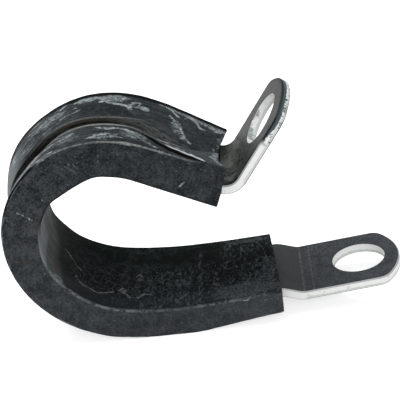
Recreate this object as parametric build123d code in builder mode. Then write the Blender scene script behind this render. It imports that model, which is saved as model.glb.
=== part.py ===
import os
from math import atan2, cos, degrees, pi, radians, sin, sqrt
from build123d import *

os.makedirs("parts", exist_ok=True)

# P clip: one folded steel strip, and one rubber channel that wraps it round the loop.
# The loop's axis is Y and passes through the origin. +X points to the tabs, +Z is up.
# Seen along Y, both pieces follow one course: the middle line of the strip's thickness.

# Steel strip
strip_width = 15.0
strip_thickness = 1.5
strip_edge_break = 0.2

# Tabs, one at each end of the strip
hole_diameter = 8.5
hole_to_tip = 6.6
tip_radius = 11.0
tip_corner_radius = 2.5
lower_tab_reach = 9.1      # from the last bend to the hole's centre
upper_tab_reach = 7.75

# Rubber channel
rubber_width = 19.5
pad_thickness = 1.2        # between the strip and the cable
lip_thickness = 2.45       # folded over the strip's outer face
lower_end_pad = 0.8        # the pad is thinner there, and full where the leg starts to bend
slot_width = 2.8           # between the two lips
slot_middle = -1.1         # the slot's middle, across the width
slot_end_width = 0.25      # where the lips close together at the upper end
slot_end_middle = -2.8
rubber_edge_break = 0.4
rest_flat_depth = 0.12     # the rubber is pressed slightly flat where the clip rests

# Tear across the near lip, measured along the upper leg and across the width
tear_start = (-3.8, -3.1)
tear_end = (8.6, -8.6)
tear_width = 0.35

# Course of the middle line, from the lower tab round to the upper tab
loop_bore_radius = 11.0
loop_angle = 154.0
heel_radius = 16.2         # where the loop eases into the lower leg
heel_angle = 43.0
sweep_radius = 50.0        # the lower leg's slight bow
sweep_angle = 13.8
lower_leg_length = 12.9
lower_leg_rise = 4.0       # how steeply the lower leg climbs to its tab
upper_leg_length = 13.4

# Bends outside the rubber
joggle_angle = 23.0        # the lower strip dips, then straightens into its tab
joggle_radius = 3.0
joggle_length = 2.1
joggle_return_angle = 24.0
root_bend_angle = 81.0     # the upper tab's sharp bend
root_bend_radius = 2.9
root_bend_cover = 0.4      # the rubber's end reaches this far over that bend

# How far each lip stands above its thickness, at shares of the course from the lower end to
# the upper one: the rubber is thinner at its lower end and bulges where it is bent round
far_lip_rise = [
    (0.0, -0.9),
    (0.075, -0.55),
    (0.15, -0.05),
    (0.24, 0.0),
    (0.35, 0.2),
    (0.53, 1.0),
    (0.66, 0.8),
    (0.76, 0.55),
    (0.87, 0.65),
    (0.94, 0.15),
    (1.0, -0.45),
]
near_lip_rise = [
    (0.0, -0.9),
    (0.075, -0.55),
    (0.15, -0.05),
    (0.24, 0.0),
    (0.35, 0.0),
    (0.45, 0.0),
    (0.57, 0.42),
    (0.7, 0.95),
    (0.8, 0.75),
    (0.9, 0.9),
    (1.0, 1.15),
]
highest_rise = max(rise for share, rise in far_lip_rise + near_lip_rise)

half_strip = strip_thickness / 2
strip_face = half_strip                        # the strip's outer face, from the middle line
pad_face = -(half_strip + pad_thickness)       # the rubber's inner face
lip_face = half_strip + lip_thickness          # the rubber's outer face at the legs
loop_radius = loop_bore_radius - pad_face      # the middle line round the loop

# Headings along the course, in degrees, travelling from the lower tab to the upper one
lower_heading = 180 + lower_leg_rise
loop_start_heading = lower_heading - sweep_angle - heel_angle
upper_heading = loop_start_heading - loop_angle


def turned(angle):
    """The direction at this angle from +X in the clip's side view."""
    return Vector(cos(radians(angle)), sin(radians(angle)))


def walk(start, heading, steps, shift=0.0):
    """Draw a course as straights and bends, moved to its left by shift.

    A step is (length,) for a straight and (radius, turn) for a bend. A positive turn is to
    the left. Returns where the course ends and the heading there.
    """
    here = start + turned(heading + 90) * shift
    for step in steps:
        if len(step) == 1:
            run = Line(here, here + turned(heading) * step[0])
        else:
            radius, turn = step
            side = 1 if turn > 0 else -1
            run = JernArc(here, turned(heading), radius - side * shift, turn)
            heading += turn
        here = run @ 1
    return here, heading


# The course from the lower end of the rubber to its upper end
rubber_steps = [
    (lower_leg_length,),
    (sweep_radius, -sweep_angle),
    (heel_radius, -heel_angle),
    (loop_radius, -loop_angle),
    (upper_leg_length,),
]

# The loop starts on its own circle, and the rubber's lower end lies back along the course
loop_start = turned(loop_start_heading + 90) * loop_radius
with BuildLine(mode=Mode.PRIVATE) as way_back:
    lower_end, lower_end_heading = walk(
        loop_start,
        loop_start_heading + 180,
        [(heel_radius, heel_angle), (sweep_radius, sweep_angle), (lower_leg_length,)],
    )
with BuildLine(mode=Mode.PRIVATE) as rubber_course:
    upper_end, upper_end_heading = walk(lower_end, lower_heading, rubber_steps)

# The strip's bare ends, beyond the rubber
joggle_steps = [
    (joggle_radius, -joggle_angle),
    (joggle_length,),
    (joggle_radius, joggle_return_angle),
]
with BuildLine(mode=Mode.PRIVATE) as joggle_course:
    lower_tab_start, lower_tab_heading = walk(lower_end, lower_end_heading, joggle_steps)

root_steps = [(root_bend_radius, root_bend_angle)]
root_bend_start = upper_end - turned(upper_heading) * root_bend_cover
with BuildLine(mode=Mode.PRIVATE) as root_course:
    upper_tab_start, upper_tab_heading = walk(root_bend_start, upper_heading, root_steps)

strip_steps = (
    [(step[0], -step[1]) if len(step) == 2 else step for step in reversed(joggle_steps)]
    + rubber_steps[:-1]
    + [(upper_leg_length - root_bend_cover,)]
    + root_steps
)


def ribbon(start, heading, steps, left, right):
    """A closed outline between two lines that keep their distance from a course."""
    with BuildLine() as outline:
        left_end, end_heading = walk(start, heading, steps, left)
        right_end, end_heading = walk(start, heading, steps, right)
        side = turned(heading + 90)
        Line(start + side * left, start + side * right)
        Line(left_end, right_end)
    make_face(outline.edges())


def side_plane(y):
    """The side view's plane at this distance along the loop's axis, facing -Y."""
    return Plane.XZ.offset(-y)


def tab_plane(start, heading, left_is_up):
    """A plane in the middle of a tab: x along the tab, from its last bend."""
    along = turned(heading)
    up = turned(heading + (90 if left_is_up else -90))
    return Plane(
        origin=(start.X, 0, start.Y), x_dir=(along.X, 0, along.Y), z_dir=(up.X, 0, up.Y)
    )


lower_tab = tab_plane(lower_tab_start, lower_tab_heading, True)
upper_tab = tab_plane(upper_tab_start, upper_tab_heading, True)


def tab_outline(reach):
    """A tab seen flat: straight sides, a broad round end and a round hole."""
    tip = reach + hole_to_tip
    half = strip_width / 2
    shoulder = tip - (tip_radius - sqrt(tip_radius**2 - half**2))
    with BuildLine() as outline:
        Line((0, -half), (shoulder, -half))
        ThreePointArc((shoulder, -half), (tip, 0), (shoulder, half))
        Line((shoulder, half), (0, half))
        Line((0, half), (0, -half))
    face = make_face(outline.edges())
    fillet(face.vertices().group_by(Axis.X)[-1], radius=tip_corner_radius)
    with Locations((reach, 0)):
        Circle(hole_diameter / 2, mode=Mode.SUBTRACT)


with BuildPart() as steel_band:
    with BuildSketch(side_plane(strip_width / 2)):
        ribbon(lower_tab_start, lower_tab_heading + 180, strip_steps, half_strip, -half_strip)
    extrude(amount=strip_width)
    for plane, reach in ((lower_tab, lower_tab_reach), (upper_tab, upper_tab_reach)):
        with BuildSketch(plane):
            tab_outline(reach)
        extrude(amount=half_strip, both=True)

    # Break the sheared edges all round, but not the punched holes
    sheared = steel_band.edges().filter_by(
        lambda edge: edge.length > strip_thickness + strip_edge_break
        and abs(edge.length - pi * hole_diameter) > strip_edge_break
        and abs(abs((edge @ 1 - edge @ 0).Y) - strip_width) > strip_edge_break
    )
    chamfer(sheared, length=strip_edge_break)
steel_band.part.label = "steel_band"


def crest(rises):
    """Outline of one half of the channel, whose outer side stands up by these rises."""
    course = rubber_course.wires()[0]
    points = []
    for share, rise in rises:
        along = course % share
        outward = Vector(-along.Y, along.X)
        points.append((course @ share) + outward * (lip_face + rise))
    outward = turned(lower_heading + 90)
    leg_end = lower_end + turned(lower_heading) * lower_leg_length
    with BuildLine() as outline:
        Spline(points, tangents=[points[1] - points[0], turned(upper_heading)])
        inner_end, end_heading = walk(leg_end, lower_heading, rubber_steps[1:], pad_face)
        Line(points[-1], inner_end)
        inner_start = lower_end - outward * (half_strip + lower_end_pad)
        Line(inner_start, leg_end + outward * pad_face)
        Line(inner_start, points[0])
    make_face(outline.edges())


upper_leg_start = upper_end - turned(upper_heading) * upper_leg_length
upper_leg = tab_plane(upper_leg_start + turned(upper_heading + 90) * strip_face, upper_heading, True)
above_lips = lip_face + highest_rise + rubber_width

with BuildPart() as rubber_liner:
    with BuildSketch(side_plane(rubber_width / 2)):
        crest(far_lip_rise)
    extrude(amount=rubber_width / 2 - slot_middle)
    with BuildSketch(side_plane(slot_middle)):
        crest(near_lip_rise)
    extrude(amount=rubber_width / 2 + slot_middle)

    # Blunt the lips' and the pad's long corners
    sides = rubber_liner.edges().filter_by(
        lambda edge: abs(abs(edge.center().Y) - rubber_width / 2) < rubber_edge_break
        and edge.length > 2 * (lip_face - pad_face)
    )
    chamfer(sides, length=rubber_edge_break)

    # The slot between the lips, which closes up along the upper leg
    with BuildSketch(side_plane(slot_middle + slot_width / 2)):
        ribbon(lower_end, lower_heading, rubber_steps[:-1], above_lips, strip_face)
    extrude(amount=slot_width, mode=Mode.SUBTRACT)
    with BuildSketch(upper_leg):
        with BuildLine():
            Polyline(
                (0, slot_middle - slot_width / 2),
                (upper_leg_length, slot_end_middle - slot_end_width / 2),
                (upper_leg_length, slot_end_middle + slot_end_width / 2),
                (0, slot_middle + slot_width / 2),
                close=True,
            )
        make_face()
    extrude(amount=above_lips, mode=Mode.SUBTRACT)

    # The tear, a thin cut from the slot across the near lip
    tear_run = Vector(*tear_end) - Vector(*tear_start)
    tear_angle = degrees(atan2(tear_run.Y, tear_run.X))
    with BuildSketch(upper_leg):
        with Locations(Location((*tear_start, 0), (0, 0, tear_angle))):
            Rectangle(tear_run.length, tear_width, align=(Align.MIN, Align.CENTER))
    extrude(amount=above_lips, mode=Mode.SUBTRACT)

    # The channel is moulded to the strip that it wraps
    add(steel_band.part, mode=Mode.SUBTRACT)

    rest_level = rubber_liner.part.bounding_box().min.Z + rest_flat_depth
    split(bisect_by=Plane.XY.offset(rest_level), keep=Keep.TOP)
rubber_liner.part.label = "rubber_liner"

export_step(steel_band.part, "parts/steel_band.step")
export_step(rubber_liner.part, "parts/rubber_liner.step")
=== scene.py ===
import math

import bpy
import numpy as np
from mathutils import Matrix, Vector


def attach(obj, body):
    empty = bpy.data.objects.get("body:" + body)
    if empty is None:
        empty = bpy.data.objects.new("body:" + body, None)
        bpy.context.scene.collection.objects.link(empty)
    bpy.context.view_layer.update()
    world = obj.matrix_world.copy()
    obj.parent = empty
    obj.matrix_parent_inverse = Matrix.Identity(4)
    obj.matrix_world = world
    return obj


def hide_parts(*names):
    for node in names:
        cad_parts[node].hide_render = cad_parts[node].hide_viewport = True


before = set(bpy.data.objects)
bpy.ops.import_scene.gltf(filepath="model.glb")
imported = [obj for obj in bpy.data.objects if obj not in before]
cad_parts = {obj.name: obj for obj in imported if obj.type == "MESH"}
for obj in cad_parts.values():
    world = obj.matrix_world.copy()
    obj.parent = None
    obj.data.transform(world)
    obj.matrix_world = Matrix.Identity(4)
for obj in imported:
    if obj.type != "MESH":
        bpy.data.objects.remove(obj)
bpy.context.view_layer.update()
mm = 0.001

# Camera where the photograph was taken from, and its lens for a frame as wide as the sensor
view = {
    "place": (24.738, -203.233, 103.243),          # mm
    "right": (0.99211848, -0.01078929, -0.12483794),
    "down": (-0.11615341, -0.45291128, -0.88395687),
    "lens": 129.74,
    "sensor": 36.0,
}

# Soft studio light: sizes and distances in metres, power in watts
studio = {
    "world": 0.42,
    "lamps": [
        {"name": "topLight", "place": (-0.10, 0.06, 0.42), "size": 0.30, "power": 1.1},
        {"name": "frontLight", "place": (0.10, -0.46, 0.26), "size": 0.30, "power": 0.75},
    ],
    "floorSize": 6.0,
    "floorColour": (0.86, 0.86, 0.86),
    "floorGlow": 0.68,
}

# The course of the strip's middle line, from the rubber's lower end to its upper one, in mm
course = {
    "lowerLeg": 12.9,
    "lowerHeading": 184.0,      # degrees, travelling away from the lower tab
    "sweepRadius": 50.0,
    "sweepTurn": 13.8,
    "heelRadius": 16.2,
    "heelTurn": 43.0,
    "loopRadius": 12.95,
    "loopTurn": 154.0,
    "upperLeg": 13.4,
}


def ease(value):
    # Smooth step: 3v^2 - 2v^3, with v held between 0 and 1
    held = np.clip(value, 0, 1)
    return held * held * (3 - 2 * held)


def swell(place, start, full, last, end):
    # 0 before start, up to 1 at full, still 1 at last, and down to 0 at end
    return ease((place - start) / (full - start)) * ease((end - place) / (end - last))


def ripple(first, second, seed, longest, count=7):
    # Sum of sine waves over two lengths, each wave shorter than the last, with seeded directions
    chance = np.random.default_rng(seed)
    total = np.zeros(np.broadcast(first, second).shape)
    for number in range(count):
        turn = chance.uniform(0, 2 * math.pi)
        phase = chance.uniform(0, 2 * math.pi)
        length = longest / 1.5 ** number
        along = first * math.cos(turn) + second * math.sin(turn)
        total += np.sin(2 * math.pi * along / length + phase) / (1 + 0.5 * number)
    return total / math.sqrt(count)


def atKnots(places, knots):
    # Straight lines between listed knots, each given as place: value
    return np.interp(places, list(knots), list(knots.values()))


def through(places, knots, softness=1.2):
    # The same line smoothed by averaging it over a short stretch
    return atKnots(places[..., None] + np.linspace(-1, 1, 9) * softness, knots).mean(axis=-1)


# The course as fine points: its heading turns evenly in each bend, and the points add up short chords
bends = [
    (course["lowerLeg"], 0.0),
    (course["sweepRadius"] * math.radians(course["sweepTurn"]), -course["sweepTurn"]),
    (course["heelRadius"] * math.radians(course["heelTurn"]), -course["heelTurn"]),
    (course["loopRadius"] * math.radians(course["loopTurn"]), -course["loopTurn"]),
    (course["upperLeg"], 0.0),
]
knotPlaces = np.concatenate([[0.0], np.cumsum([length for length, turn in bends])])
knotHeadings = course["lowerHeading"] + np.concatenate([[0.0], np.cumsum([turn for length, turn in bends])])
courseLength = knotPlaces[-1]
loopStart = knotPlaces[3]

finePlaces = np.linspace(-2.0, courseLength + 2.0, 20001)
fineStep = finePlaces[1] - finePlaces[0]
fineHeadings = np.radians(np.interp(finePlaces, knotPlaces, knotHeadings))
middleHeadings = (fineHeadings[1:] + fineHeadings[:-1]) / 2
fineX = np.concatenate([[0.0], np.cumsum(np.cos(middleHeadings) * fineStep)])
fineZ = np.concatenate([[0.0], np.cumsum(np.sin(middleHeadings) * fineStep)])
loopHeading = math.radians(knotHeadings[3])
loopCentreX = np.interp(loopStart, finePlaces, fineX) + math.sin(loopHeading) * course["loopRadius"]
loopCentreZ = np.interp(loopStart, finePlaces, fineZ) - math.cos(loopHeading) * course["loopRadius"]
fineX -= loopCentreX
fineZ -= loopCentreZ


def onCourse(along, across, outward):
    # Position = point of the course + the outward normal times the height, with y as it is
    heading = np.interp(along, finePlaces, fineHeadings)
    x = np.interp(along, finePlaces, fineX) - np.sin(heading) * outward
    z = np.interp(along, finePlaces, fineZ) + np.cos(heading) * outward
    return np.stack([x, np.broadcast_to(across, x.shape), z], axis=-1)


# Rubber channel, in mm. Along is the place on the course, across is y, outward is from the strip's middle
rubber = {
    "halfWidth": 9.75, "stripFace": 0.75, "stripHalf": 7.5, "clearance": 0.03,
    "cornerRound": 0.38, "edgeRound": 0.22, "endRound": 0.2, "floor": -17.814,
    # outer height of each lip at its outer corner
    "farTop": {0: 2.3, 6.4: 2.65, 12.8: 3.15, 20: 3.2, 30: 3.4, 42: 4.05, 47: 4.55, 51: 4.68, 54: 4.38,
        56.5: 4.12, 58: 3.98, 60.7: 3.88, 63: 3.85, 70: 3.83, 72.3: 3.9, 74: 3.93, 75.7: 3.88, 77.5: 3.68,
        79.3: 3.51, 81.1: 3.26, 82.8: 3.13, 84.6: 2.9, 85.5: 2.8},
    "nearTop": {0: 2.3, 3.5: 2.5, 5.9: 2.65, 8.4: 2.88, 10.8: 3.1, 13.2: 3.28, 15.5: 3.15, 17.7: 3.13,
        20: 3.22, 22.2: 3.28, 24.5: 3.25, 26.5: 3.35, 28.5: 3.22, 40.6: 3.25, 50: 3.8, 60.7: 4.25, 62.3: 4.15,
        65.3: 4.1, 66.7: 4.02, 70: 3.97, 74: 4.07, 76.7: 4.17, 79: 4.15, 81.2: 4.36, 83.6: 4.62, 84.5: 4.45,
        85.3: 4.4},
    # how far each lip falls towards the slot
    "farFall": {0: 0.1, 14: 0.1, 35: 0.4, 44: 0.85, 50.8: 1.37, 53.7: 1.25, 55.2: 1.28, 57.2: 0.95, 59.1: 0.5,
        60.9: 0.05, 64: -0.1, 66.3: 0.06, 68.8: 0.2, 72: 0.1, 85.3: 0.1},
    "nearFall": {0: 0.1, 14: 0.1, 35: 0.4, 51.5: 0.7, 53.7: 1.1, 55.3: 1.38, 57.2: 1.27, 59.1: 1.12, 61: 0.55,
        62.4: 0.2, 65.4: 0.05, 66.8: 0.12, 69.3: 0.2, 85.3: 0.1},
    "lensFall": {62: 0, 65: 0.12, 68: 0.15, 70.5: 0.1, 72.5: 0},
    # the slot's far edge and its width
    "farEdge": {0: 0.3, 72: 0.3, 73.7: -1.1, 75.4: -2.2, 77: -2.7, 78.7: -2.9, 80.4: -3.3, 83: -3.1,
        85.3: -3},
    "slotWidth": {0: 2.8, 71.5: 2.8, 72.8: 2.5, 74.4: 1, 75.5: 0.35, 77: 0.14, 85.3: 0.14},
    # how far the slot's painted shade runs out over each lip, in black
    "farSlotShade": {40: 0, 46: 0.6, 50: 1, 54: 0.75, 58: 0.15, 60: 0},
    "nearSlotShade": {40: 0, 46: 0.1, 50: 0.4, 54: 0.4, 58: 0.7, 62: 0.8, 66: 0.35, 71: 0},
    # the tear's edge on the lip, the torn strip's edge beyond it, and how far the strip has sunk
    "ridgeEdge": {60: -3.7, 69.6: -3.7, 70.7: -4.4, 71.7: -5.6, 73: -6.9, 74: -7.6, 75: -8.3, 76.6: -8.95,
        78.5: -9.2, 80: -9.22, 86: -9.2},
    "stripEdge": {60: -3.55, 69.6: -3.55, 70.7: -3.9, 71.7: -4.35, 73: -4.9, 74: -5.6, 75: -6.15, 76: -6.5,
        77.3: -6.8, 79.1: -7.3, 80.1: -7.9, 81: -8.8, 82: -9, 86: -9},
    "tear": (70, 81.2),
    "tearOpening": (1.2, 1.6),      # how soon it is fully open at its two ends
    "tearSkin": 0.1, "tearGap": 0.12, "tearInset": 0.06, "tearSlope": 0.012,
    "tearNearSteps": (0.06, 0.35, 0.7, 1),
    "tearFloorSteps": 1,
    "tearFarSteps": (1, 0.7, 0.35, 0.04),
    "stripLeast": 0.3, "stripFirst": 0.02,
    "ragged": (71, 73, 79, 81),
    "slotSink": {60: 0, 69.5: 0.1, 70.7: 0.35, 71.7: 0.65, 73: 0.95, 75: 1.2, 80: 0.9, 83: 0.6, 86: 0.5},
    "tornSink": {60: 0, 71: 0.1, 73: 0.25, 76: 0.35, 79: 0.35, 81: 0.1, 86: 0.1},
    # the pad's inner face at its middle and at its two edges
    "padMiddle": {0: -1.55, 12.9: -1.95, 86: -1.95},
    "padNear": {0.2: -1.75, 4: -1.56, 7.7: -1.5, 11.6: -1.55, 15.6: -1.65, 22.9: -1.8, 29: -1.97, 31.4: -2.17,
        35: -2.35, 48: -2.35, 50.9: -2.1, 55.7: -1.87, 57: -2.2, 59.1: -2.38, 61.3: -2.27, 63.4: -2.03,
        65.3: -1.7, 67: -1.95, 86: -1.95},
    "padFar": {0.2: -1.57, 6.2: -1.72, 9.6: -1.87, 12.1: -2.03, 15.6: -2.25, 19: -2.4, 27: -2.47, 30.4: -2.38,
        34.6: -2.05, 38.3: -1.95, 41: -1.55, 42.5: -1.55, 46: -1.85, 86: -1.97},
    # where the upper end is cut: across the lips, and up the near wall
    "lipCut": {-9.75: 84.62, -9.25: 84.6, -8.5: 84.4, -7.5: 83.8, -6.4: 83.3, -4: 83.6, -1.6: 83.9, 1: 84.23,
        3.45: 84.57, 8: 85.4, 9.2: 85.72, 9.75: 85.85},
    "wallCut": {-2: 85.3, -0.2: 85.12, 0.5: 85.12, 1.6: 84.82, 2.8: 84.6},
    "plainCut": 85.3, "wallBand": 0.6, "sideBand": 0.5, "cutHeights": (0.2, 2.2), "cutBlend": 3.5,
    "lowerCut": (0.047, 0.085, -0.08), "lowerBlend": 3,
    "padFlat": 4.5, "padBlend": (0.5, 2.2), "padUneven": 0.6,
}


# The channel's faces, numbered in the order in which the ring of points passes them
faceNames = ["slotFar", "farLip", "farWall", "pad", "nearWall", "nearLip", "tearNear", "tearFloor", "tearFar",
             "strip", "slotNear", "cavity"]

# Small waves by name: seed, longest wave and height, in mm
waves = {
    "ridgeEdge": (8, 3.0, 0.06), "stripEdge": (9, 2.4, 0.11), "faces": (11, 11.0, 0.035),
    "upperCut": (21, 2.5, 0.05), "lowerCut": (22, 3.0, 0.03), "chalkAlong": (31, 1.9, 0.16),
    "chalkAcross": (32, 1.7, 0.20), "tornEdgeChalkAndGlint": (41, 1.3, 0.26), "nearEdgeHighlight": (42, 2.2, 0.42),
    "padSheen": (51, 2.4, 0.28), "padChalkAndHighlight": (52, 4.0, 0.35),
}


def wave(name, first, second, count=7):
    seed, longest, height = waves[name]
    return height * ripple(first, second, seed, longest, count)


def onFaces(part, *names):
    # Where the points lie on any of the named faces
    return np.isin(part, [faceNames.index(name) for name in names])


def evenly(start, end, count, first=0.0):
    # Rows of points evenly spaced from start to end, one row a station, the first point left out
    steps = np.linspace(first, 1, count + 1)[1:]
    start, end = np.broadcast_arrays(start, end)
    return start[..., None] + (end - start)[..., None] * steps


def roundCorner(middleY, middleH, radius, startAngle, count):
    # Quarter circle round its middle, turning back by 90 degrees, by the cosine and sine of the angle
    angles = np.radians(np.linspace(startAngle, startAngle - 90, count + 1)[1:])
    middleY, middleH = np.broadcast_arrays(middleY, middleH)
    return middleY[..., None] + radius * np.cos(angles), middleH[..., None] + radius * np.sin(angles)


def placeStations():
    # Places along the course, and how far the rounded ends draw in at each: a quarter circle by its sine
    reach = rubber["endRound"]
    quarter = np.radians(np.linspace(0, 90, 6)[:-1])
    startPart = reach * (1 - np.cos(quarter))
    places = np.concatenate([
        startPart,
        np.linspace(reach, 42, 98),
        np.linspace(42, 60, 92)[1:],
        np.linspace(60, courseLength - reach, 160)[1:],
        courseLength - startPart[::-1],
    ])
    inset = np.zeros(len(places))
    inset[:5] = reach * (1 - np.sin(quarter))
    inset[-5:] = inset[:5][::-1]
    return places, inset


# The lines that the rings of points are drawn between, one number a station
stations, inset = placeStations()
farTop, nearTop, padSide, slotFar, slotWidth = [
    through(stations, rubber[name]) for name in ("farTop", "nearTop", "padMiddle", "farEdge", "slotWidth")]
slotNear = slotFar - slotWidth
ragged = swell(stations, *rubber["ragged"])
ridgeEdge = through(stations, rubber["ridgeEdge"], 0.5) + wave("ridgeEdge", stations, 0 * stations) * ragged
stripEdge = through(stations, rubber["stripEdge"], 0.4) + wave("stripEdge", stations, 0 * stations) * ragged
stripEdge = np.minimum(np.maximum(stripEdge, ridgeEdge + rubber["tearGap"]), slotNear - rubber["stripLeast"])
ridgeEdge = np.minimum(ridgeEdge, stripEdge - rubber["tearGap"])
lipUnder = rubber["stripFace"] + rubber["clearance"]


def drawRings():
    # One ring of points a station: y, the height above the strip's middle, and the number of the face
    side, corner, edge = rubber["halfWidth"], rubber["cornerRound"], rubber["edgeRound"]
    cavity = rubber["stripHalf"] + rubber["clearance"]
    inTear, slope = rubber["tearInset"], rubber["tearSlope"] * np.arange(1, 5)
    level = np.ones(len(stations))
    rows = []

    def put(name, across, outward):
        across, outward = np.broadcast_arrays(across, outward)
        rows.append((across, outward, np.full(across.shape, faceNames.index(name))))

    # Up the slot's far side, over the far lip, down the far wall, along the pad and up the near wall
    put("slotFar", slotFar[:, None], evenly(lipUnder * level, farTop - edge, 8))
    put("farLip", *roundCorner(slotFar + edge, farTop - edge, edge, 180, 5))
    put("farLip", evenly(slotFar + edge, side - corner, 40), farTop[:, None])
    put("farLip", *roundCorner(side - corner, farTop - corner, corner, 90, 7))
    put("farWall", side, evenly(farTop - corner, padSide + edge, 12))
    put("pad", *roundCorner(side - edge, padSide + edge, edge, 0, 5))
    put("pad", evenly((side - edge) * level, edge - side, 56), padSide[:, None])
    put("pad", *roundCorner(edge - side, padSide + edge, edge, -90, 5))
    put("nearWall", -side, evenly(padSide + edge, nearTop - corner, 26))
    put("nearLip", *roundCorner(corner - side, nearTop - corner, corner, 180, 7))
    # The near lip up to its tear, down the tear, over the torn strip and down into the slot
    put("nearLip", evenly(corner - side, ridgeEdge, 24), nearTop[:, None])
    put("tearNear", ridgeEdge[:, None] + slope, nearTop[:, None])
    put("tearFloor", evenly(ridgeEdge + inTear, stripEdge - inTear, 4), nearTop[:, None])
    put("tearFar", stripEdge[:, None] - slope[::-1], nearTop[:, None])
    put("strip", evenly(stripEdge, slotNear - edge, 26, rubber["stripFirst"]), nearTop[:, None])
    put("strip", *roundCorner(slotNear - edge, nearTop - edge, edge, 90, 5))
    put("slotNear", slotNear[:, None], evenly(nearTop - edge, lipUnder * level, 7))
    # Back round the strip's cavity
    put("cavity", evenly(slotNear, -cavity, 5), lipUnder)
    put("cavity", -cavity, evenly(lipUnder * level, -lipUnder, 2))
    put("cavity", evenly(-cavity * level, cavity, 8), -lipUnder)
    put("cavity", cavity, evenly(-lipUnder * level, lipUnder, 2))
    put("cavity", evenly(cavity, slotFar, 5), lipUnder)
    return [np.concatenate([row[place] for row in rows], axis=1) for place in range(3)]


def lipFall(across, outward, part):
    # How far each point lies below its lip's flat height, in mm
    side = rubber["halfWidth"]
    onFar = onFaces(part, "slotFar", "farLip")
    onNear = onFaces(part, "nearLip", "tearNear", "tearFloor", "tearFar", "strip", "slotNear")
    falls = ("farFall", "nearFall", "lensFall", "slotSink", "tornSink")
    farFall, nearFall, lensFall, slotSink, tornSink = [
        through(stations, rubber[name])[:, None] for name in falls]

    # Each lip falls towards the slot, by the square of the share of its width
    farShare = np.clip((side - across) / (side - slotFar[:, None]), 0, 1)
    nearShare = np.clip((across + side) / (slotNear[:, None] + side), 0, 1)
    fall = np.where(onFar, farFall * farShare ** 2 + lensFall * ease((farShare - 0.5) / 0.5), 0)
    fall = fall + np.where(onNear, nearFall * nearShare ** 2, 0)

    # The torn strip is sunk, most at the slot, and the tear goes down to the steel
    stripShare = np.clip((across - stripEdge[:, None]) / (slotNear - stripEdge)[:, None], 0, 1)
    sunk = tornSink + (slotSink - tornSink) * stripShare
    fall = fall + np.where(onFaces(part, "tearFar", "strip", "slotNear"), sunk, 0)
    start, end = rubber["tear"]
    tearOpen = swell(stations, start, start + rubber["tearOpening"][0], end - rubber["tearOpening"][1], end)
    depth = (nearTop[:, None] - lipUnder - rubber["tearSkin"]) * tearOpen[:, None]
    wallSteps = np.zeros(part.shape[1])
    for name in ("tearNear", "tearFloor", "tearFar"):
        wallSteps[onFaces(part[0], name)] = rubber[name + "Steps"]
    inTear = onFaces(part, "tearNear", "tearFloor", "tearFar")
    fall = np.where(inTear, fall + np.maximum(depth - fall, 0) * wallSteps, fall)
    top = np.where(onFar, farTop[:, None], nearTop[:, None])
    return fall * np.clip((outward - lipUnder) / (top - lipUnder), 0, 1)


def addObject(name, data):
    piece = bpy.data.objects.new(name, data)
    bpy.context.scene.collection.objects.link(piece)
    return piece


def addMesh(name, points, faces):
    mesh = bpy.data.meshes.new(name)
    mesh.from_pydata(points, [], faces)
    mesh.update()
    return addObject(name, mesh)


def buildRubber():
    size = rubber
    side = size["halfWidth"]
    across, outward, part = drawRings()
    along = np.broadcast_to(stations[:, None], across.shape).copy()
    outward = outward - lipFall(across, outward, part)

    # The pad's edges stand up or down by given heights, and all faces are a little uneven
    onPad, onCavity = onFaces(part, "pad"), onFaces(part, "cavity")
    padFar, padNear = [through(stations, size[name])[:, None] for name in ("padFar", "padNear")]
    rise = np.where(across > 0, padFar, padNear) - padSide[:, None]
    rise = rise * ease((np.abs(across) - size["padFlat"]) / (side - size["padFlat"]))
    lowWalls = np.clip((size["padBlend"][0] - outward) / size["padBlend"][1], 0, 1)
    outward = outward + rise * np.where(onPad, 1, np.where(onFaces(part, "farWall", "nearWall"), lowWalls, 0))
    uneven = wave("faces", along, across) * np.where(onPad, size["padUneven"], 1)
    outward = outward + np.where(onCavity, 0, uneven)

    # Rounded ends: the outer faces draw in towards the cavity over the last stretch
    drawn = np.where(onCavity, 0, 1) * inset[:, None]
    across = across - np.sign(across) * drawn * (np.abs(across) > side - size["sideBand"])
    outward = outward - drawn * onFaces(part, "farLip", "nearLip", "strip") + drawn * onPad

    # The upper end is cut askew, and the lower one runs a little back across the pad
    inner = across > size["wallBand"] - side
    upperCut = np.where(inner, size["plainCut"], atKnots(outward, size["wallCut"]))
    cutShare = ease((outward - size["cutHeights"][0]) / size["cutHeights"][1])
    upperCut = upperCut + (atKnots(across, size["lipCut"]) - upperCut) * cutShare * inner
    upperCut = upperCut + wave("upperCut", across, outward) - courseLength
    slant, lean, shift = size["lowerCut"]
    lowerCut = slant * across + lean * outward + shift + wave("lowerCut", across, outward)
    along = along + upperCut * np.clip(1 - (courseLength - along) / size["cutBlend"], 0, 1)
    along = along + lowerCut * np.clip(1 - along / size["lowerBlend"], 0, 1)

    places = onCourse(along, across, outward)
    places[..., 2] = np.maximum(places[..., 2], size["floor"])

    index = np.arange(across.size).reshape(across.shape)
    turned = np.roll(index, -1, axis=1)
    quads = np.stack([index[:-1], turned[:-1], turned[1:], index[1:]], axis=-1).reshape(-1, 4)
    faces = quads.tolist() + [index[0][::-1].tolist(), index[-1].tolist()]
    piece = addMesh("rubberChannel", (places.reshape(-1, 3) * mm).tolist(), faces)
    piece.data.polygons.foreach_set("use_smooth", np.ones(len(faces), bool))
    measure = piece.data.attributes.new("courseMm", "FLOAT_VECTOR", "POINT")
    measure.data.foreach_set("vector", np.stack([along, across, outward], axis=-1).ravel().astype(np.float32))
    return piece, along, across, outward, part


def putValue(name, values):
    attribute = channel.data.attributes.new(name, "FLOAT", "POINT")
    attribute.data.foreach_set("value", values.ravel().astype(np.float32))


channel, along, across, outward, part = buildRubber()
print("rubber channel:", len(channel.data.polygons), "faces")


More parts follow.
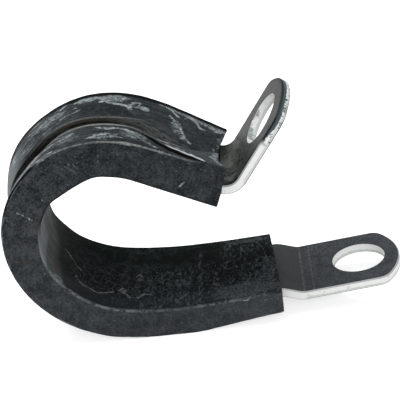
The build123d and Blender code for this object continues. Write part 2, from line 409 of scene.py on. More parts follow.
def strokes(first, second, lines, soft=True):
    # Each stroke is as strong as its weight on its line and fades out at its half width
    total = np.zeros(first.shape)
    for weight, half, points in lines:
        points = np.array(points, float)
        for start, end in zip(points[:-1], points[1:]):
            run = end - start
            share = ((first - start[0]) * run[0] + (second - start[1]) * run[1]) / max(run @ run, 1e-9)
            share = np.clip(share, 0, 1)
            distance = np.hypot(first - start[0] - share * run[0], second - start[1] - share * run[1])
            near = 1 - distance / half
            total = np.maximum(total, weight * (ease(1.6 * near) if soft else np.clip(near, 0, 1)))
    return total


def nearness(first, second, lines):
    # How near a place is to any of the lines, 1 on a line and 0 at four half widths, with that line's weight
    nearest = np.zeros(first.shape)
    weights = np.zeros(first.shape)
    for weight, half, points in lines:
        field = strokes(first, second, [(1.0, 4 * half, points)], False)
        weights = np.where(field > nearest, weight, weights)
        nearest = np.maximum(nearest, field)
    return nearest, weights


def patches(first, second, spots):
    # Soft ellipses: weight * smooth(2 - 2r), r the distance from the middle in units of the two radii
    total = np.zeros(first.shape)
    for weight, middle, radii in spots:
        distance = np.hypot((first - middle[0]) / radii[0], (second - middle[1]) / radii[1])
        total = np.maximum(total, weight * ease(2 - 2 * distance))
    return total


# Chalk marks, as (weight, half width, points) and (weight, middle, radii), in mm.
# On the lips and the pad a point is (place on the course, y); on the near wall (place, outward).
chalk = {
    "farStrokes": [
        (0.8, 0.5, [(62.9, 7.6), (63.9, 7.5), (65.2, 7.4), (65.9, 7.7)]),
        (1, 0.38, [(66.1, 5.9), (67, 5.9), (67.8, 5), (68.7, 4.9), (69.5, 4.2), (70, 3.5)]),
        (0.85, 0.3, [(67, 8.3), (67.8, 8.5), (68.6, 8.2)]), (0.6, 0.4, [(68.8, 7.7), (69.6, 7.2)]),
        (0.75, 0.24, [(69.7, 4.9), (70.1, 5.9), (70.9, 6.4), (70.9, 5.3), (70.6, 4.2), (70, 4.3), (69.7, 4.9)]),
        (0.7, 0.24, [(55.7, 5.2), (57, 5.3), (58, 6)]), (0.55, 0.2, [(55.3, 3.2), (56.7, 2.6)]),
        (0.6, 0.22, [(56.2, 6.3), (57.6, 6.1)]), (0.95, 0.36, [(60.7, 6.9), (61.7, 8.3)]),
        (0.65, 0.24, [(61.1, 3.2), (62, 3.6), (62.9, 3.7), (63.6, 4)]),
        (0.95, 0.42, [(74, 8.1), (75.7, 7.8), (76.5, 6.8), (77, 5.9)]),
        (0.85, 0.36, [(75.8, 5.1), (77, 2.8), (77.8, 0.9), (78.1, -0.7), (78.8, -1.8)]),
        (1, 0.46, [(78.8, 8.1), (79.5, 7.5), (80.2, 7), (81, 5.3), (81.5, 5.4)]),
        (0.75, 0.3, [(82.7, 6.4), (83.8, 6.5), (84.6, 7), (84.9, 8)]),
        (0.55, 1.3, [(75.8, 8.3), (77.8, 8.2), (80.6, 7.8), (83.2, 7.5), (84.9, 7.9)]),
        (0.35, 0.45, [(83.9, 1), (84.3, 3.5), (84.7, 5.5)]),
    ],
    "farPatches": [
        (0.75, (66.6, 6.6), (1, 0.7)), (0.6, (64.4, 7.5), (2.4, 1.3)), (0.62, (67.6, 7), (2.6, 1.9)),
        (0.55, (59.5, 5.6), (3, 2)), (0.85, (52.5, 5.2), (0.8, 1.6)), (0.8, (62.8, 5.3), (0.45, 0.45)),
        (0.62, (71.6, 4.6), (0.75, 0.95)), (0.46, (76.8, 2), (1.3, 3.6)), (0.7, (77.7, -1.1), (0.6, 0.8)),
        (0.7, (79, -1.9), (0.3, 0.5)), (0.75, (78.3, 6.7), (0.35, 0.4)), (0.75, (84, 4.2), (0.3, 0.5)),
        (0.45, (83.2, -0.4), (0.4, 0.6)),
    ],
    "nearStrokes": [
        (0.7, 0.5, [(66.2, -4.5), (66.9, -4.7), (67.3, -5.1)]),
        (0.95, 0.34, [(67.2, -4.9), (68.3, -4.6), (69.4, -4.6), (69.9, -4.9), (70.7, -5.5)]),
        (0.85, 0.6, [(65.4, -8.1), (66, -7.6), (66.9, -7.1)]), (0.6, 0.35, [(68.4, -8), (69.1, -8)]),
        (0.45, 0.4, [(71, -6.9), (72.3, -7.9), (73.5, -8.6)]),
        (1, 0.8, [(54.4, -9.7), (55.6, -9.4), (56.8, -8.7), (57.7, -8), (58.5, -6.8)]),
        (0.8, 0.5, [(58.5, -6.3), (60.5, -6.1), (62, -5.8), (63.2, -5.1)]),
        (0.8, 0.4, [(58, -9.3), (58.9, -9.4), (59.8, -9.2), (60.9, -8.9)]),
    ],
    "nearPatches": [
        (0.46, (70.4, -6.3), (2.2, 2)), (0.46, (67, -7.6), (2.2, 1.6)), (0.35, (62.5, -6.6), (2.2, 1.4)),
    ],
    "stripStrokes": [
        (1, 0.6, [(74.2, -3.3), (75.4, -3.6)]), (0.8, 0.5, [(72.6, -3), (74, -3.2)]),
        (0.7, 0.4, [(75.6, -4.4), (76.8, -4.9), (78, -5.3)]), (0.7, 0.35, [(82.2, -6), (83.2, -7.6)]),
    ],
    "stripPatches": [
        (0.6, (84.3, -5.6), (2.6, 4.6)), (0.2, (78, -4.6), (3, 1.6)),
    ],
    "wallStrokes": [
        (0.22, 0.22, [(66.3, 3.3), (66.2, 1.7), (66, -0.8)]), (0.8, 0.2, [(78.7, -0.5), (79.2, 0.5)]),
        (0.7, 0.16, [(51.8, 2), (51.3, -0.6)]), (0.4, 0.18, [(60.7, 1.8), (61.6, 0.5)]),
        (0.36, 0.18, [(61.5, 1.5), (62.5, -0.3)]), (0.3, 0.18, [(62.6, 1.2), (63.1, 0.2)]),
        (0.3, 0.45, [(50.6, 3.2), (50.1, 2.4)]), (0.28, 0.14, [(48.6, -0.4), (48.4, -1.5)]),
    ],
    "wallPatches": [
        (0.65, (55.3, -0.6), (0.25, 0.25)), (0.3, (68.8, 2), (0.25, 0.3)), (0.16, (64.6, 2.2), (1.3, 1.6)),
        (1.2, (5.1, -1.3), (0.6, 0.34)), (1, (2, -0.6), (0.36, 0.26)), (0.22, (30, 1.2), (0.3, 0.3)),
    ],
    "padStrokes": [
        (0.65, 0.24, [(34.2, -3.7), (33.2, -5), (31.4, -5.4)]),
        (0.85, 0.2, [(31.4, -5.4), (29.7, -5.9), (27.9, -5.2), (26.8, -4.5)]),
        (0.85, 0.2, [(25.7, -3.8), (25, -4.7), (23.7, -6.1), (22.6, -6.1), (21.8, -5.1), (20.5, -5)]),
        (0.7, 0.22, [(25.9, -4), (25.4, -3.2), (24.7, -3.7), (25, -4.7)]),
        (0.5, 0.15, [(22.9, 0.9), (22.3, 1.4), (21.9, -0.2), (22.6, -0.8), (22.9, 0.9)]),
        (0.32, 0.2, [(12.1, 6.8), (12, 4.6), (12.4, 2.2), (11.6, 0.2), (12.6, -1.8), (12, -3.6)]),
        (0.32, 0.2, [(13.5, 0.9), (14.1, -1.8), (13.9, -3)]),
        (0.26, 0.26, [(16.4, -1.5), (15.5, -1.3), (14.5, -2.8), (15.6, -3.3), (16.4, -1.5)]),
        (0.3, 0.26, [(15.8, -7.2), (14.3, -5.6)]), (0.22, 0.22, [(11.4, -4.2), (10.2, -4.4), (9, -4)]),
        (0.36, 0.16, [(6.4, 0.9), (5.8, -0.9), (4.9, -2.9)]), (0.34, 0.16, [(4.1, 0.9), (3.5, -1.3)]),
        (0.26, 0.18, [(4.2, -2.3), (4.1, -3.5), (5.2, -5.9)]),
        (0.24, 0.16, [(5.4, 4.8), (5.4, 3.1), (5.9, 2.2)]),
        (0.8, 0.2, [(37.2, 2.2), (35.6, 0.9), (34.1, -0.7), (33.3, -1.1)]),
        (0.85, 0.22, [(39.5, -9.2), (38.5, -9.6), (37.4, -9.4), (37.2, -8.4), (38.1, -8.2), (39.2, -8.8)]),
    ],
    "padPatches": [
        (0.45, (7, 7.5), (0.3, 0.5)), (0.45, (1.1, -0.9), (0.3, 0.4)), (0.4, (0.9, 6.5), (0.3, 0.4)),
        (0.32, (3.1, -2.7), (0.5, 0.5)), (0.14, (12, -7.4), (16, 2.4)), (0.1, (19, 8.4), (12, 1.6)),
        (0.24, (4, 8.4), (5.5, 1.1)), (0.32, (5, -7.2), (8, 3.2)), (0.26, (1, -2), (1.8, 6)),
    ],
    "brown": [
        (0.7, (38.8, -5.6), (1.6, 2.8)),
    ],
    "wallBrown": [
        (0.3, (43.9, 1.4), (0.5, 2.2)), (0.15, (49, -1), (5, 0.9)),
    ],
    "network": (24, -2.4, 10.5, 6.2),
}


# Bands beside an edge, most of them painted highlights or painted shade: distance from it, half width and
# fullness, then where along the course the band starts, is full, is last full and ends, in mm, and its strength
marks = {
    "bands": {
        "nearEdgeHighlight": (0, 0.12, 1.7, (57.5, 60.5, 77, 80.5), 1),
        "nearEdgeGlint": (0, 0.16, 2, None, 1),
        "nearCornerShade": (0, 0.2, 1.6, (50, 52, 58, 61), 1),
        "farEdgeHighlight": (0.12, 0.24, 1.5, (58, 62, 70, 73), 0.42),
        "tornEdgeChalkAndGlint": (0.24, 0.46, 1.8, (74.6, 76, 80.8, 81.4), 1),
        "tearStartHighlight": (0.1, 0.14, 1.5, (70, 71, 74, 75), 0.5),
        "padChalkAndHighlight": (0.12, 0.16, 1.5, (0, 4, 42, 46), 1),
        "blobRim": (0.95, 0.12, 2, None, 0.9),
        "nearInner": (-8.85, 0.42, 1.5, (56, 62, 73, 76), 0.8),
        "underSlot": (-0.75, 0.24, 1.5, (60, 64, 70, 73), 0.7),
    },
    # stretches of the course in the same four numbers
    "spans": {
        "slotEdgeHighlight": (43, 46, 76, 79), "padChalkAndHighlight": (20, 26, 37, 41), "lens": (61.5, 65, 71, 71.6),
        "besideSlot": (49, 52, 60, 64), "shadeAndGapBlack": (50, 51.5, 86, 87), "farSheen": (44, 48, 51, 55.5),
        "tear": (70, 70.6, 80.8, 81.4), "slotPaintedLight": (66, 71, 84, 86), "stripTop": (70, 73, 85, 87),
    },
    "nearGlintSpots": [(1, (69.6, 0), (0.9, 1)), (0.9, (74.3, 0), (0.5, 1))],
    "sheenBlob": [(1, (71.6, 4.6), (0.8, 1.05))],
    "blob": ((71.5, 4.6), (0.95, 1.25)),
    "slotHalf": {52: 1.05, 57: 0.55, 61: 0.26},
    "lens": {61: 3.2, 64.4: 5.4, 66.8: 5.2, 67.7: 4.2, 68.7: 3.9, 69.5: 3.1, 70.4: 2, 71.4: 0.6},
    "rimShadeFrom": {50: 7, 51.5: 6, 53: 6.6, 55: 7.6, 56.5: 7.9},
    "padFade": {-8.5: 35.9, -6: 36.8, -4: 38, -0.6: 37.9, 2.6: 38, 4.5: 39.2, 5.5: 41, 9: 43},
}


def markRubber():
    size = rubber
    farLip, nearLip, strip = onFaces(part, "farLip"), onFaces(part, "nearLip"), onFaces(part, "strip")
    wall, pad = onFaces(part, "nearWall"), onFaces(part, "pad")

    def band(name, distance, where):
        offset, half, fullness, stretch, strength = marks["bands"][name]
        field = strength * ease(fullness - np.abs(distance - offset) / half) * where
        return field * swell(along, *stretch) if stretch else field

    def span(name):
        return swell(along, *marks["spans"][name])

    def knots(name, place):
        return atKnots(place, marks[name])

    white = np.zeros(along.shape)
    warped = along + wave("chalkAlong", along, across, 4)
    shifted = across + wave("chalkAcross", along, across, 4)
    for name, where in (("far", farLip), ("near", nearLip | strip), ("strip", strip), ("wall", wall)):
        places = (along, outward) if name == "wall" else (warped, shifted)
        field = np.maximum(strokes(*places, chalk[name + "Strokes"]), patches(*places, chalk[name + "Patches"]))
        white = np.where(where, np.maximum(white, field), white)
    white = np.where(pad, 1.6 * patches(warped, shifted, chalk["padPatches"]), white)
    nearest, weights = nearness(warped, shifted, chalk["padStrokes"])
    putValue("chalk", white)
    putValue("padNear", nearest * pad)
    putValue("padWeight", weights)

    # Painted shade: the slot's black runs out over both lips
    farSlotShade, nearSlotShade = through(along, size["farSlotShade"]), through(along, size["nearSlotShade"])
    farEdge = through(along, size["farEdge"])
    nearEdge = farEdge - through(along, size["slotWidth"]) - nearSlotShade
    farEdge = farEdge + farSlotShade
    shadeOverLips = ease((farEdge - across) / 0.2) * ease(farSlotShade / 0.1) * farLip
    shadeOverLips = shadeOverLips + ease((across - nearEdge) / 0.2) * ease(nearSlotShade / 0.1) * nearLip

    # Painted highlights along the lips' corners and edges, by their distance from each: the near lip's outer corner
    # with brighter glints, the slot's edges, the pad's near edge and the start of the tear; the torn strip's edge is
    # white with chalk and a painted highlight
    corner = 0.10
    fromNear = np.hypot(across + size["halfWidth"] - corner, outward - through(along, size["nearTop"]) + corner)
    level = 0 * along
    nearEdgeHighlight = band("nearEdgeHighlight", fromNear, wall | nearLip) * (0.66 + wave("nearEdgeHighlight", along, level))
    spots = patches(along, level, marks["nearGlintSpots"])
    nearEdgeHighlight = np.clip(np.maximum(nearEdgeHighlight, band("nearEdgeGlint", fromNear, wall | nearLip) * spots), 0, 1)
    # painted highlights along the slot's near edge and along the far lip's edge beside the slot
    half = knots("slotHalf", along)
    slotEdgeHighlight = ease(1.8 - np.abs(across - nearEdge + half) / half) * (nearLip | strip)
    torn = across - through(along, size["stripEdge"], 0.4)
    # painted highlight along the pad's near edge; the same colour also draws the pad's chalk strokes
    padChalkAndHighlight = band("padChalkAndHighlight", across + size["halfWidth"], pad) * (0.55 + 0.35 * span("padChalkAndHighlight"))
    putValue("padChalkAndHighlight", np.clip(padChalkAndHighlight * (0.75 + wave("padChalkAndHighlight", along, level)), 0, 1))
    putValue("edgeHighlight", np.maximum(nearEdgeHighlight, band("tearStartHighlight", torn, strip)))
    putValue("slotEdgeHighlight", np.maximum(slotEdgeHighlight * span("slotEdgeHighlight"), band("farEdgeHighlight", across - farEdge, farLip)))
    # the torn strip's edge: white chalk with a painted highlight where it catches the light
    putValue("tornEdgeChalkAndGlint", band("tornEdgeChalkAndGlint", torn - wave("tornEdgeChalkAndGlint", along, level), strip))

    # Painted shade: the lens beside the slot, the blob's rim, the line inside the near corner, and in black along
    # the far lip's outer edge and the near corner
    middle, reach = marks["blob"]
    fromBlob = np.hypot((along - middle[0]) / reach[0], (across - middle[1]) / reach[1])
    upperShade = 0.45 * ease((along - 78.2) / 1.5) * ease((6 - across) / 2)
    besideSlot = 0.9 * ease((farEdge + 1.7 - across) / 1.3) * span("besideSlot")
    putValue("shade", np.maximum.reduce([
        ease((knots("lens", along) - across) / 0.5) * span("lens") * farLip,
        upperShade * farLip,
        band("blobRim", fromBlob, farLip) * ease((5.6 - across) / 1.2),
        band("nearInner", across, nearLip),
        band("underSlot", across - nearEdge, nearLip | strip),
        besideSlot * farLip,
    ]))
    shadeAndGapBlack = ease((across - knots("rimShadeFrom", along)) / 0.6) * farLip * span("shadeAndGapBlack")
    putValue("shadeAndGapBlack", np.maximum.reduce([shadeAndGapBlack, band("nearCornerShade", fromNear, wall | nearLip), shadeOverLips]))

    # Painted sheen on the far lip's bend and its blob, and a painted reflection inside the loop as far as a slanting
    # line
    gloss = np.maximum(0.85 * farLip * span("farSheen") * ease((9.2 - across) / 1.5),
                       farLip * patches(along, across, marks["sheenBlob"]))
    inside = 0.38 * ease((along - knots("padFade", across)) / 2.6)
    inside = inside + 0.62 * ease((along - 41.8) / 1.6) * ease((1.5 - across) / 4)
    inside = inside * pad * ease((52 - along) / 5) * (0.85 + wave("padSheen", across, 0.1 * along))
    putValue("gloss", np.maximum(gloss, np.clip(inside, 0, 1)))
    brown = pad * patches(along, across, chalk["brown"]) + wall * patches(along, outward, chalk["wallBrown"])
    putValue("brown", brown)
    middleS, middleY, reachS, reachY = chalk["network"]
    putValue("network", ease(1.5 - np.hypot((along - middleS) / reachS, (across - middleY) / reachY)) * pad)

    # Which surface a place belongs to
    slotSides = onFaces(part, "slotFar", "slotNear")
    # the tear's faces, painted black as the shade in the gap
    putValue("tear", onFaces(part, "tearNear", "tearFloor", "tearFar") * span("tear"))
    putValue("padFace", pad)
    putValue("slotSide", slotSides)
    # painted light on the slot's sides towards the upper end, which lie in shade
    putValue("slotPaintedLight", slotSides * span("slotPaintedLight"))
    putValue("lipTop", farLip | nearLip | strip)
    putValue("stripTop", strip * span("stripTop"))


markRubber()
print("marks on the rubber")


class Wire:
    # A value in a node tree, which can be added, taken away, multiplied and held to a range
    def __init__(self, sheet, socket):
        self.sheet = sheet
        self.socket = socket

    def __add__(self, other):
        return self.sheet.calc("ADD", self, other)

    def __sub__(self, other):
        return self.sheet.calc("SUBTRACT", self, other)

    def __rsub__(self, other):
        return self.sheet.calc("SUBTRACT", other, self)

    def __mul__(self, other):
        return self.sheet.calc("MULTIPLY", self, other)

    def __abs__(self):
        return self.sheet.calc("ABSOLUTE", self)

    def larger(self, other):
        return self.sheet.calc("MAXIMUM", self, other)

    def between(self, low, high, to=1):
        # 0 at low, and smoothly up to the last number at high
        inputs = {0: self, 1: low, 2: high, 3: 0, 4: to}
        return self.sheet.add("ShaderNodeMapRange", inputs, interpolation_type="SMOOTHSTEP")


class Sheet:
    # The node tree of a material or a world, and the table that its colours and noises come from
    def __init__(self, owner, finish=None):
        owner.use_nodes = True
        self.tree = owner.node_tree
        self.finish = finish
        self.wires = {}
        self.painted = {}

    def feed(self, made, inputs):
        # Sockets by name or number, linked to a wire or set to a value
        for name, given in inputs.items():
            if isinstance(given, Wire):
                self.tree.links.new(given.socket, made.inputs[name])
            else:
                made.inputs[name].default_value = given

    def add(self, kind, inputs, output=0, **settings):
        made = self.tree.nodes.new(kind)
        for name, setting in settings.items():
            setattr(made, name, setting)
        self.feed(made, inputs)
        return Wire(self, made.outputs[output])

    def calc(self, operation, first, second=0):
        return self.add("ShaderNodeMath", {0: first, 1: second}, operation=operation)

    def split(self, vector):
        return [self.add("ShaderNodeSeparateXYZ", {0: vector}, number) for number in range(3)]

    def noise(self, scale, detail, roughness, distortion=0, stretch=None):
        place = self.wires["place"]
        if stretch:
            place = self.add("ShaderNodeMapping", {"Vector": place, "Scale": stretch})
        return self.add("ShaderNodeTexNoise", {"Vector": place, "Scale": scale, "Detail": detail,
                                               "Roughness": roughness, "Distortion": distortion}, "Fac")

    def wire(self, name):
        # A wire of this sheet, or else a noise of the finish's table, or else an attribute of the mesh
        if name not in self.wires:
            noises = self.finish["noises"]
            self.wires[name] = (self.noise(*noises[name]) if name in noises else
                                self.add("ShaderNodeAttribute", {}, "Fac", attribute_name=name))
        return self.wires[name]

    def share(self, given):
        # A number, a wire by its name, or (name, low, high, share at high)
        if isinstance(given, tuple):
            return self.wire(given[0]).between(*given[1:])
        return self.wire(given) if isinstance(given, str) else given

    def blend(self, name):
        # Sum of wires, each times its weight
        first, *others = [self.wire(part) * weight for part, weight in self.finish[name].items()]
        for other in others:
            first = first + other
        self.wires[name] = first

    def colour(self, name):
        return self.painted.get(name) or (*self.finish[name], 1)

    def paint(self):
        # Each surface is a base colour and its coats, each as strong as its shares multiplied
        for name, (base, *coats) in self.finish["surfaces"].items():
            body = self.colour(base)
            for colour, first, *others in coats:
                share = self.share(first)
                for other in others:
                    share = share * self.share(other)
                inputs = {0: share, 6: body, 7: self.colour(colour)}
                body = self.add("ShaderNodeMix", inputs, 2, data_type="RGBA")
            self.painted[name] = body

    def surface(self, roughBy, height, **inputs):
        low, high = self.finish["roughness"]
        strength, distance = self.finish["bump"]
        rough = self.add("ShaderNodeMapRange", {0: roughBy, 1: 0.3, 2: 0.7, 3: low, 4: high})
        bump = self.add("ShaderNodeBump", {"Strength": strength, "Distance": distance, "Height": height})
        self.feed(self.tree.nodes["Principled BSDF"], {
            "Base Color": self.painted["body"], "Roughness": rough, "Normal": bump,
            "Specular IOR Level": self.finish["specular"], **inputs})


# Colours, noises as (scale, detail, roughness, distortion, stretch), and surfaces as a base colour and coats:
# (colour, share, share ...), where a share is a number, a wire's name or (name, low, high, share at high)
rubberFinish = {
    "dark": (0.0125, 0.016, 0.0185), "pale": (0.074, 0.081, 0.086), "lip": (0.009, 0.0115, 0.014),
    "lipPale": (0.05, 0.059, 0.066), "pad": (0.0058, 0.0088, 0.008), "padPale": (0.02, 0.026, 0.0265),
    "padLow": (0.026, 0.031, 0.034), "slot": (0.08, 0.074, 0.06), "slotShadeAndGrain": (0.006, 0.0055, 0.0048),
    "slotPaintedLight": (0.135, 0.145, 0.142), "slotEdgeHighlight": (0.25, 0.26, 0.245), "gloss": (0.21, 0.235, 0.238),
    "shadeAndGapBlack": (0.004, 0.005, 0.0055), "haze": (0.095, 0.113, 0.123), "shade": (0.015, 0.0175, 0.019),
    "strip": (0.056, 0.064, 0.07), "chalk": (0.35, 0.39, 0.405), "line": (0.33, 0.35, 0.34),
    "torn": (0.56, 0.61, 0.64), "network": (0.105, 0.123, 0.133), "padSheen": (0.2, 0.22, 0.228),
    "brown": (0.062, 0.052, 0.049), "padChalkAndHighlight": (0.26, 0.285, 0.295), "specular": 0.02,
    "roughness": (0.44, 0.64),
    "bump": (0.4, 0.00012),
    "wallMix": {"mottle": 0.4, "fine": 0.48, "smears": 0.12},
    "relief": {"fine": 0.7, "crumbs": 0.3},
    "chalkNoise": 2.3,
    "cellScale": 1.15,
    "noises": {
        "mottle": (0.55, 8, 0.68), "fine": (3.2, 5, 0.7), "specks": (2.6, 2, 0.5), "speckles": (1.7, 6, 0.72),
        "padMottle": (0.8, 7, 0.72), "threads": (0.9, 5, 0.6), "dust": (1.3, 6, 0.72, 0.3),
        "rag": (2.4, 6, 0.7, 0.4), "cores": (1.5, 5, 0.7, 0.6),
        "smears": (1, 6, 0.65, 0.3, (2.2, 1, 0.5)), "streaks": (1, 6, 0.62, 0.6, (0.22, 1.5, 1.5)),
        "loose": (1, 7, 0.72, 0.8, (0.36, 1.9, 1.9)), "scuffs": (1, 7, 0.75, 1.5, (1.3, 0.6, 1)),
        "grain": (1, 7, 0.75, 0.6, (0.5, 1.6, 3.2)),
    },
    "surfaces": {
        # streaks along the course
        "lipColour": ["lip", ("lipPale", ("streaks", 0.36, 0.66))],
        # nearly black, with scuffs where it was wet
        "padColour": [
            "pad",
            ("padPale", ("padMottle", 0.45, 0.7)),
            ("padLow", ("across", -3, -7.5, 0.7)),
            ("network", ("scuffs", 0.51, 0.6, 0.7), ("along", 30, 18), "wet"),
        ],
        # brownish near the lip, with painted shade going black deeper in the slot, and painted light on both sides
        # towards the upper end
        "slotColour": ["slot", ("slotShadeAndGrain", ("outward", 3.6, 2.2)), ("slotPaintedLight", "slotPaintedLight")],
        "slotGrain": ["slotShadeAndGrain", ("slotColour", ("grain", 0.36, 0.54, 0.9))],
        "chalkColour": ["haze", ("chalk", ("cores", 0.38, 0.55)), ("network", "padFace")],
        # painted sheen, paler grey on the pad
        "paintedSheenColour": ["gloss", ("padSheen", "padFace")],
        "body": [
            # walls: fine mottling with short faint scratches
            "dark",
            ("pale", ("wallMix", 0.4, 0.62)),
            ("pale", ("along", 60, 25, 0.28)),
            ("pale", ("along", 14, 4, 0.22)),
            ("dark", ("along", 56, 66, 0.22)),
            ("brown", "brown"),
            ("chalk", ("specks", 0.66, 0.74, 0.22)),
            # lips, loose chalk on their lower stretch, and the paler torn strip
            ("lipColour", "lipTop", 0.62),
            ("chalk", ("loose", 0.52, 0.6), "lipTop", ("along", 66, 60, 0.8)),
            ("strip", "stripTop", 0.78),
            ("haze", "stripTop", ("speckles", 0.5, 0.6, 0.55)),
            # pad, with a faint chalk network, and the slot's sides
            ("padColour", "padFace"),
            ("network", ("cells", 0.1, 0.02), ("threads", 0.4, 0.58, 0.55), "network"),
            ("slotGrain", "slotSide"),
            # painted shade, black gaps between the crumbs of chalk, and dust
            ("shade", "shade", 0.75),
            ("shadeAndGapBlack", ("chalk", 0.05, 0.35, 0.45), "lipTop"),
            ("haze", ("dust", 0.46, 0.62, 0.25), "lipTop"),
            # listed marks, broken up by noise: painted sheen and reflection, brown stains, chalk, painted shade in
            # black, painted highlights along the edges, the torn edge's chalk and painted highlight, and the tear's
            # painted shade
            ("paintedSheenColour", "gloss"),
            ("brown", "brown", "padFace"),
            ("chalkColour", "crumbs"),
            ("shadeAndGapBlack", "shadeAndGapBlack"),
            ("slotEdgeHighlight", "slotEdgeHighlight", ("rag", 0.25, 0.55, 0.9)),
            ("line", "edgeHighlight", ("rag", 0.25, 0.6, 0.9)),
            ("padChalkAndHighlight", ("padNear", 0.66, 0.86), "padWeight", ("rag", 0.3, 0.5, 0.75)),
            ("padChalkAndHighlight", "padChalkAndHighlight", ("rag", 0.38, 0.58)),
            ("torn", "tornEdgeChalkAndGlint"),
            ("slotShadeAndGrain", "tear"),
        ],
    },
}


def rubberMaterial():
    finish = rubberFinish
    material = bpy.data.materials.new("chalkedRubber")
    sheet = Sheet(material, finish)
    wires = sheet.wires
    place = wires["place"] = sheet.add("ShaderNodeAttribute", {}, "Vector", attribute_name="courseMm")
    wires["along"], wires["across"], wires["outward"] = sheet.split(place)
    wires["wet"] = wires["across"].between(4.5, 0.5).larger(wires["along"].between(11, 6))
    inputs = {"Vector": place, "Scale": finish["cellScale"], "Randomness": 1}
    wires["cells"] = sheet.add("ShaderNodeTexVoronoi", inputs, "Distance", feature="DISTANCE_TO_EDGE")
    chalked = sheet.wire("chalk")
    noisy = chalked + (sheet.wire("rag") - 0.5) * finish["chalkNoise"]
    wires["crumbs"] = noisy.between(0.12, 0.92) * chalked.between(0.02, 0.3)
    sheet.blend("wallMix")
    sheet.blend("relief")
    sheet.paint()
    sheet.surface(wires["fine"], wires["relief"])
    return material


channel.data.materials.append(rubberMaterial())
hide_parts("rubber_liner")
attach(channel, "root")

# Steel: each tab as its plane's normal, its direction away from the last bend, and where both start, in mm
steelFinish = {
    "lowerTab": {"normal": (-0.0872, 0, 0.9962), "middle": -17.181,
                 "run": (0.9962, 0, 0.0872), "start": 27.72},
    "upperTab": {"normal": (-0.8111, 0, 0.585), "middle": -13.261,
                 "run": (0.585, 0, 0.8111), "start": 17.69},
    "creases": (-0.25, 1.3), "tipMiddle": 3.35, "holeMiddle": 7.75, "lowerFace": (0.036, 0.042, 0.05),
    "lowerPale": (0.088, 0.098, 0.108), "crease": (0.19, 0.195, 0.19), "lowerRoot": (0.064, 0.067, 0.066),
    "upperFace": (0.02, 0.023, 0.022), "upperPale": (0.086, 0.092, 0.09), "upperRoot": (0.175, 0.188, 0.185),
    "olive": (0.15, 0.165, 0.132), "brown": (0.052, 0.044, 0.043), "dark": (0.008, 0.01, 0.013),
    "teal": (0.065, 0.095, 0.105), "wallGrey": (0.3, 0.34, 0.36), "sheared": (0.97, 0.98, 0.97),
    "fractured": (0.7, 0.73, 0.7), "stain": (0.36, 0.36, 0.34), "metallic": 0.4, "specular": 0.15,
    "roughness": (0.36, 0.54), "bump": (0.25, 0.0001),
    "even": {"mottle": 0.6, "fine": 0.4},
    "grit": {"mottle": 0.35, "fine": 0.65},
    "noises": {
        "mottle": (0.45, 8, 0.66), "fine": (2.6, 5, 0.65), "clouds": (0.9, 7, 0.76, 0.6),
        "tinted": (0.3, 6, 0.7), "stains": (0.8, 6, 0.7), "tears": (1.1, 6, 0.75, 0.5), "greys": (0.42, 6, 0.7, 0.4),
    },
    "surfaces": {
        "lower": [
            "lowerFace",
            ("lowerPale", ("grit", 0.4, 0.6)),
            ("lowerRoot", ("lowerRun", 0.8, -0.4, 0.6)),
            # thin light creases across the last bend
            ("crease", ("firstCrease", 0.3, 0, 0.62), ("fine", 0.38, 0.56)),
            ("crease", ("secondCrease", 0.24, 0, 0.45), ("fine", 0.38, 0.56)),
        ],
        "root": ["upperFace", ("upperRoot", ("clouds", 0.44, 0.58))],
        "upper": [
            "upperFace",
            ("upperPale", ("grit", 0.43, 0.58)),
            ("root", ("bent", 5.2, 1.6, 0.8)),
            ("olive", ("bent", -1.6, 0.2), ("bent", 2.4, 0.8), ("across", -6, 1), ("fine", 0.38, 0.58, 0.85)),
            ("brown", ("tinted", 0.42, 0.6, 0.75), ("upperRun", 7, 13)),
            # painted shade along the rolled-over edge
            ("dark", "rolloverShade", 0.8),
        ],
        "tornEdge": ["teal", ("dark", ("depth", 0.35, 0.6))],
        # the cut edge is near white, partly bare steel and partly painted reflection, brightest on its burnished
        # upper part; the hole's wall is grey in places, and the edge torn and dark in places round the tip
        "edge": [
            "fractured",
            ("sheared", ("burnishGlareDepth", -0.1, 0.16)),
            ("stain", ("stains", 0.56, 0.68, 0.45)),
            ("wallGrey", ("greys", 0.47, 0.58, 0.9), ("offHole", 5.2, 4.6), "onUpper"),
            ("tornEdge", "torn", ("offHole", 5, 5.8), ("upperRun", 6.2, 7.8), "onUpper"),
        ],
        "body": ["lower", ("upper", ("height", -2, 2)), ("edge", "sheared")],
    },
}


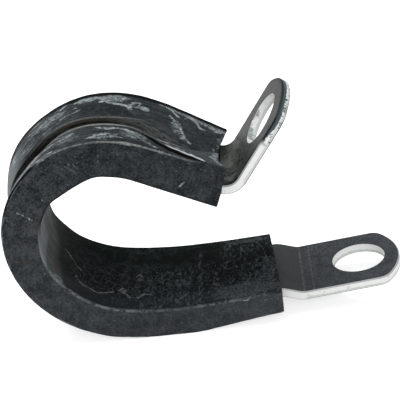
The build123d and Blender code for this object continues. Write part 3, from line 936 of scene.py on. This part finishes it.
def steelMaterial():
    finish = steelFinish
    material = bpy.data.materials.new("zincPlatedSteel")
    sheet = Sheet(material, finish)
    wires = sheet.wires
    metres = sheet.add("ShaderNodeTexCoord", {}, "Object")
    place = wires["place"] = sheet.add("ShaderNodeMapping", {"Vector": metres, "Scale": (1000, 1000, 1000)})
    acrossMm, height = sheet.split(place)[1:]
    normal = sheet.add("ShaderNodeNewGeometry", {}, "True Normal")

    def dot(first, direction):
        return sheet.add("ShaderNodeVectorMath", {0: first, 1: direction}, "Value", operation="DOT_PRODUCT")

    def onTab(name, low, high):
        # Distance from the last bend, share of the tab, share of an edge, and height from the tab's middle
        tab = finish[name]
        run = dot(place, tab["run"]) - tab["start"]
        share = run.between(-0.8, 0.4) * height.between(low, high)
        edge = abs(dot(normal, tab["normal"])).between(0.85, 0.55)
        return run, share, edge, dot(place, tab["normal"]) - tab["middle"]

    lowerRun, onLower, lowerEdge, lowerDepth = onTab("lowerTab", 2, -2)
    upperRun, onUpper, upperEdge, upperDepth = onTab("upperTab", 0, 4)
    sheared = abs(sheet.split(normal)[1]).between(0.6, 0.8)
    sheared = sheared * (1.0 - onLower) + lowerEdge * onLower
    sheared = sheared * (1.0 - onUpper) + upperEdge * onUpper
    depth = lowerDepth * onLower * (1.0 - onUpper) + upperDepth * onUpper

    def fromMiddle(start):
        off = upperRun - start
        return sheet.calc("SQRT", off * off + acrossMm * acrossMm)

    # Painted shade where the sheared edge rolls over: a dark outline along both sides and round the tip
    rolloverShade = fromMiddle(finish["tipMiddle"]).between(10, 10.7) * upperRun.between(5, 7)
    rolloverShade = rolloverShade.larger(acrossMm.between(-6.2, -6.9)).larger(acrossMm.between(6.4, 7.2, 0.6))
    # The edge is torn where its noise is high, and rolled over at its top and its underside
    mottle, fine = sheet.wire("mottle"), sheet.wire("fine")
    inner = depth + upperRun.between(8, 10.5, 0.36) + (fine - 0.5) * 0.5
    rolled = inner.between(0.22, 0.42).larger(depth.between(-0.52, -0.66, 0.8))
    first, second = finish["creases"]
    wires.update({
        "across": acrossMm, "height": height, "lowerRun": lowerRun, "upperRun": upperRun, "onUpper": onUpper,
        "sheared": sheared, "depth": depth, "rolloverShade": rolloverShade, "offHole": fromMiddle(finish["holeMiddle"]),
        "bent": upperRun + mottle * 3, "burnishGlareDepth": depth + mottle * 0.5,
        "torn": sheet.wire("tears").between(0.5, 0.58).larger(rolled),
        "firstCrease": abs(lowerRun - first), "secondCrease": abs(lowerRun - second),
    })
    sheet.blend("even")
    sheet.blend("grit")
    sheet.paint()
    metallic = (1.0 - sheared * 0.85) * finish["metallic"] * (1.0 - upperRun.between(1, 8, 0.55) * onUpper)
    sheet.surface(wires["even"], wires["even"], Metallic=metallic)
    return material


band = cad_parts["steel_band"]
band.data.materials.clear()
band.data.materials.append(steelMaterial())
print("materials: rubber and steel")


def buildStage():
    bpy.context.scene.view_settings.view_transform = "Standard"
    half = studio["floorSize"] / 2
    level = rubber["floor"] * mm
    corners = [(-half, -half, level), (half, -half, level), (half, half, level), (-half, half, level)]
    floor = addMesh("floor", corners, [(0, 1, 2, 3)])
    material = bpy.data.materials.new("paleFloor")
    sheet = Sheet(material)
    kinds = ("Camera", "Glossy", "Transmission")
    camera, glossy, passing = [sheet.add("ShaderNodeLightPath", {}, "Is " + kind + " Ray") for kind in kinds]
    seen = camera.larger(glossy).larger(passing)
    sheet.feed(sheet.tree.nodes["Principled BSDF"], {
        "Base Color": (*studio["floorColour"], 1), "Roughness": 1.0, "Specular IOR Level": 0.0,
        "Emission Color": (1, 1, 1, 1), "Emission Strength": seen * studio["floorGlow"]})
    floor.data.materials.append(material)

    world = bpy.data.worlds.new("studioWorld")
    sheet = Sheet(world)
    strength = sheet.add("ShaderNodeLightPath", {}, "Is Camera Ray").larger(studio["world"])
    sheet.feed(sheet.tree.nodes["Background"], {"Color": (1, 1, 1, 1), "Strength": strength})
    bpy.context.scene.world = world

    for lamp in studio["lamps"]:
        light = bpy.data.lights.new(lamp["name"], "AREA")
        light.shape = "DISK"
        light.size = lamp["size"]
        light.energy = lamp["power"]
        holder = addObject(lamp["name"], light)
        holder.location = lamp["place"]
        holder.rotation_euler = (-Vector(lamp["place"])).to_track_quat("-Z", "Y").to_euler()


def buildCamera():
    camera = bpy.data.cameras.new("photoCamera")
    camera.lens = view["lens"]
    camera.sensor_width = view["sensor"]
    camera.clip_start = 0.01
    camera.clip_end = 20
    holder = addObject("photoCamera", camera)
    right = Vector(view["right"])
    up = -Vector(view["down"])
    back = right.cross(up)
    turn = Matrix((right, up, back)).transposed()
    holder.matrix_world = Matrix.Translation(Vector(view["place"]) * mm) @ turn.to_4x4()
    bpy.context.scene.camera = holder


buildStage()
buildCamera()
print("stage, lamps and camera")
